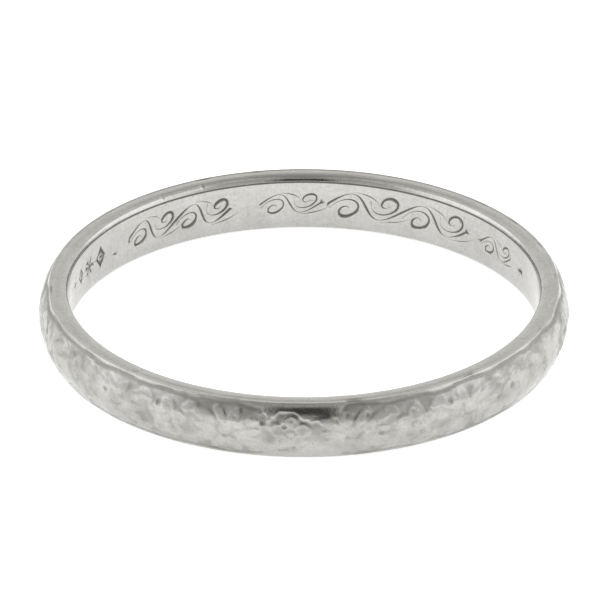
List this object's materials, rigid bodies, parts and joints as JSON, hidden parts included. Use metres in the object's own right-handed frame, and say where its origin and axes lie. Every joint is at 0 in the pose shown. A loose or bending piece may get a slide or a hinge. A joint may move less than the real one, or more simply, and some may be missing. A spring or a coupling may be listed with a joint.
{
  "type": "wedding band",
  "caption": "Narrow domed white-gold wedding band with plain bright sides, a worn struck floral outside and a scroll-cut bore.",
  "frame": {"origin": "centre of the finger bore, half way across the band's width", "axes": "+Z along the finger bore; the band lies flat in the XY plane"},
  "size_m": [0.0194, 0.0194, 0.0022],
  "materials": {
    "white_gold": "old bright polish worn to a soft sheen, with fine wipe scratches",
    "gold_solder": "hard solder filed and burnished flush with the band"
  },
  "bodies": {
    "root": {"band_strip": "white_gold", "solder_seam": "gold_solder"}
  },
  "joints": []
}
